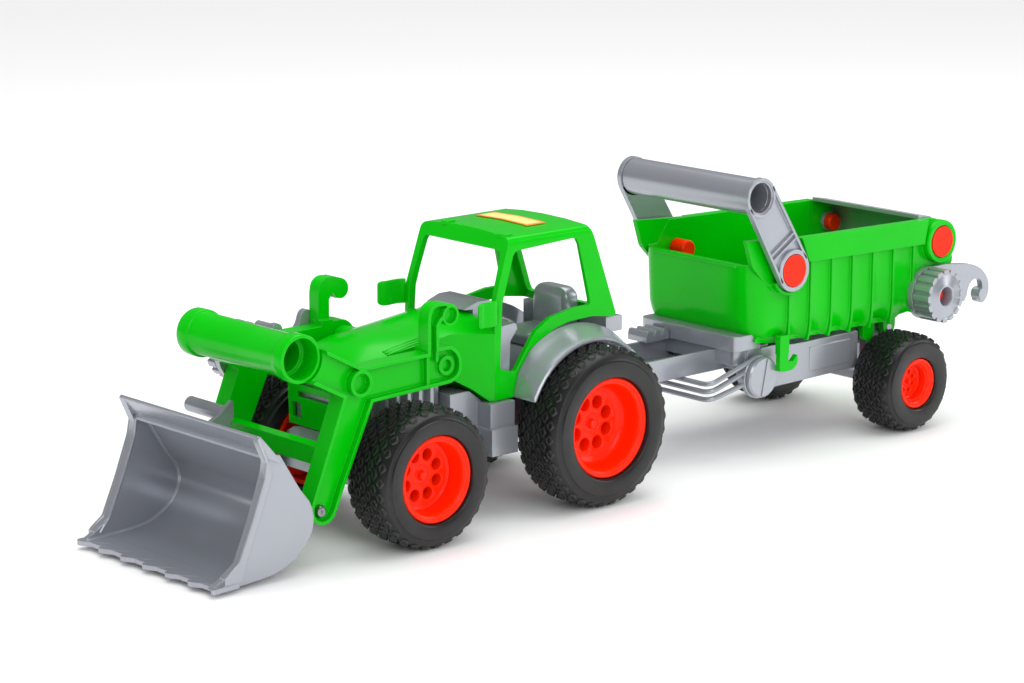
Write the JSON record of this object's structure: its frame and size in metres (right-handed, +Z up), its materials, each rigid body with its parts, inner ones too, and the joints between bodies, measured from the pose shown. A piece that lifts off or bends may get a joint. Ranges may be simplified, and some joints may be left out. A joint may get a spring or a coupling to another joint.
{
  "type": "toy tractor with loader and trailer",
  "caption": "Moulded toy farm tractor with a front loader, tilting bucket, roofed cab and a tipping trailer with a carry handle.",
  "frame": {"origin": "on the ground under the middle of the whole object", "axes": "+Z up, -Y towards the bucket at the front, +X towards the tractor's left side"},
  "size_m": [0.142, 0.6068, 0.1674],
  "materials": {
    "green_plastic": "gloss",
    "silver_plastic": "satin",
    "red_plastic": "gloss",
    "tyre_black": "satin",
    "steel": "satin",
    "label": "satin"
  },
  "bodies": {
    "tractor": {"chassis": "silver_plastic", "hitch_pin": "steel", "engine_block": "silver_plastic", "hood_and_cab": "green_plastic", "grille_insert": "silver_plastic", "roof_label": "label", "cab_interior": "silver_plastic", "driver_seat": "silver_plastic", "rear_fender_left": "silver_plastic", "rear_fender_right": "silver_plastic", "mirror_left": "green_plastic", "mirror_right": "green_plastic", "front_axle": "steel", "rear_axle": "steel"},
    "front_wheel_left": {"front_tyre_left": "tyre_black", "front_rim_left": "red_plastic"},
    "front_wheel_right": {"front_tyre_right": "tyre_black", "front_rim_right": "red_plastic"},
    "rear_wheel_left": {"rear_tyre_left": "tyre_black", "rear_rim_left": "red_plastic"},
    "rear_wheel_right": {"rear_tyre_right": "tyre_black", "rear_rim_right": "red_plastic"},
    "loader": {"loader_arm_left": "green_plastic", "loader_arm_right": "green_plastic", "loader_grip_tube": "green_plastic", "loader_crossbar": "green_plastic", "loader_gear_pin": "red_plastic"},
    "bucket": {"bucket": "silver_plastic", "bucket_tilt_lever": "silver_plastic", "bucket_screw_left": "steel", "bucket_screw_right": "steel"},
    "loader_hook": {"loader_hook_lever": "silver_plastic"},
    "loader_gear": {"loader_gear": "silver_plastic"},
    "trailer": {"trailer_drawbar": "silver_plastic", "drawbar_tab": "silver_plastic", "trailer_frame": "silver_plastic", "trailer_axle": "steel"},
    "trailer_wheel_left": {"trailer_tyre_left": "tyre_black", "trailer_rim_left": "red_plastic"},
    "trailer_wheel_right": {"trailer_tyre_right": "tyre_black", "trailer_rim_right": "red_plastic"},
    "stand": {"parking_stand": "silver_plastic"},
    "stand_knob_left": {"stand_knob_left": "silver_plastic"},
    "stand_knob_right": {"stand_knob_right": "silver_plastic"},
    "tub": {"trailer_tub": "green_plastic", "tub_latch_left": "green_plastic", "tub_latch_right": "green_plastic", "tailgate_cap_left": "red_plastic", "tailgate_cap_right": "red_plastic", "handle_cap_left": "red_plastic", "handle_cap_right": "red_plastic", "trailer_gear_pin": "red_plastic"},
    "handle": {"handle_arm_left": "silver_plastic", "handle_arm_right": "silver_plastic", "handle_tube": "silver_plastic"},
    "tailgate": {"tailgate": "silver_plastic"},
    "trailer_gear": {"trailer_gear": "silver_plastic"},
    "trailer_hook": {"trailer_hook_lever": "silver_plastic"}
  },
  "joints": [
    {"name": "front_wheel_left_spin", "type": "hinge", "parent": "tractor", "child": "front_wheel_left", "pos_m": [0, -0.16332, 0.0384], "axis": [1, 0, 0], "continuous": true},
    {"name": "front_wheel_right_spin", "type": "hinge", "parent": "tractor", "child": "front_wheel_right", "pos_m": [0, -0.16332, 0.0384], "axis": [1, 0, 0], "continuous": true},
    {"name": "rear_wheel_left_spin", "type": "hinge", "parent": "tractor", "child": "rear_wheel_left", "pos_m": [0, -0.03823, 0.045], "axis": [1, 0, 0], "continuous": true},
    {"name": "rear_wheel_right_spin", "type": "hinge", "parent": "tractor", "child": "rear_wheel_right", "pos_m": [0, -0.03823, 0.045], "axis": [1, 0, 0], "continuous": true},
    {"name": "loader_lift", "type": "hinge", "parent": "tractor", "child": "loader", "pos_m": [0, -0.13872, 0.0925], "axis": [1, 0, 0], "range_deg": [-32, 0]},
    {"name": "bucket_tilt", "type": "hinge", "parent": "loader", "child": "bucket", "pos_m": [0, -0.22443, 0.0283], "axis": [-1, 0, 0], "range_deg": [-45, 12]},
    {"name": "loader_gear_turn", "type": "hinge", "parent": "loader", "child": "loader_gear", "pos_m": [0, -0.19862, 0.0924], "axis": [1, 0, 0], "continuous": true},
    {"name": "loader_hook_swing", "type": "hinge", "parent": "loader", "child": "loader_hook", "pos_m": [0, -0.19862, 0.0924], "axis": [1, 0, 0], "range_deg": [0, 60]},
    {"name": "hitch_yaw", "type": "hinge", "parent": "tractor", "child": "trailer", "pos_m": [0, 0.01578, 0.055], "axis": [0, 0, 1], "range_deg": [-25, 25]},
    {"name": "trailer_wheel_left_spin", "type": "hinge", "parent": "trailer", "child": "trailer_wheel_left", "pos_m": [0, 0.21727, 0.03], "axis": [1, 0, 0], "continuous": true},
    {"name": "trailer_wheel_right_spin", "type": "hinge", "parent": "trailer", "child": "trailer_wheel_right", "pos_m": [0, 0.21727, 0.03], "axis": [1, 0, 0], "continuous": true},
    {"name": "stand_swing", "type": "hinge", "parent": "trailer", "child": "stand", "pos_m": [0, 0.10608, 0.0472], "axis": [1, 0, 0], "range_deg": [0, 50]},
    {"name": "stand_knob_left_turn", "type": "hinge", "parent": "trailer", "child": "stand_knob_left", "pos_m": [0, 0.10608, 0.0472], "axis": [1, 0, 0], "continuous": true},
    {"name": "stand_knob_right_turn", "type": "hinge", "parent": "trailer", "child": "stand_knob_right", "pos_m": [0, 0.10608, 0.0472], "axis": [1, 0, 0], "continuous": true},
    {"name": "tub_tip", "type": "hinge", "parent": "trailer", "child": "tub", "pos_m": [0, 0.22778, 0.058], "axis": [-1, 0, 0], "range_deg": [0, 35]},
    {"name": "handle_swing", "type": "hinge", "parent": "tub", "child": "handle", "pos_m": [0, 0.12298, 0.1097], "axis": [-1, 0, 0], "range_deg": [0, 70]},
    {"name": "tailgate_open", "type": "hinge", "parent": "tub", "child": "tailgate", "pos_m": [0, 0.25738, 0.1096], "axis": [1, 0, 0], "range_deg": [0, 60]},
    {"name": "trailer_gear_turn", "type": "hinge", "parent": "tub", "child": "trailer_gear", "pos_m": [0, 0.24727, 0.0787], "axis": [1, 0, 0], "continuous": true},
    {"name": "trailer_hook_swing", "type": "hinge", "parent": "tub", "child": "trailer_hook", "pos_m": [0, 0.24727, 0.0787], "axis": [-1, 0, 0], "range_deg": [0, 30]}
  ]
}
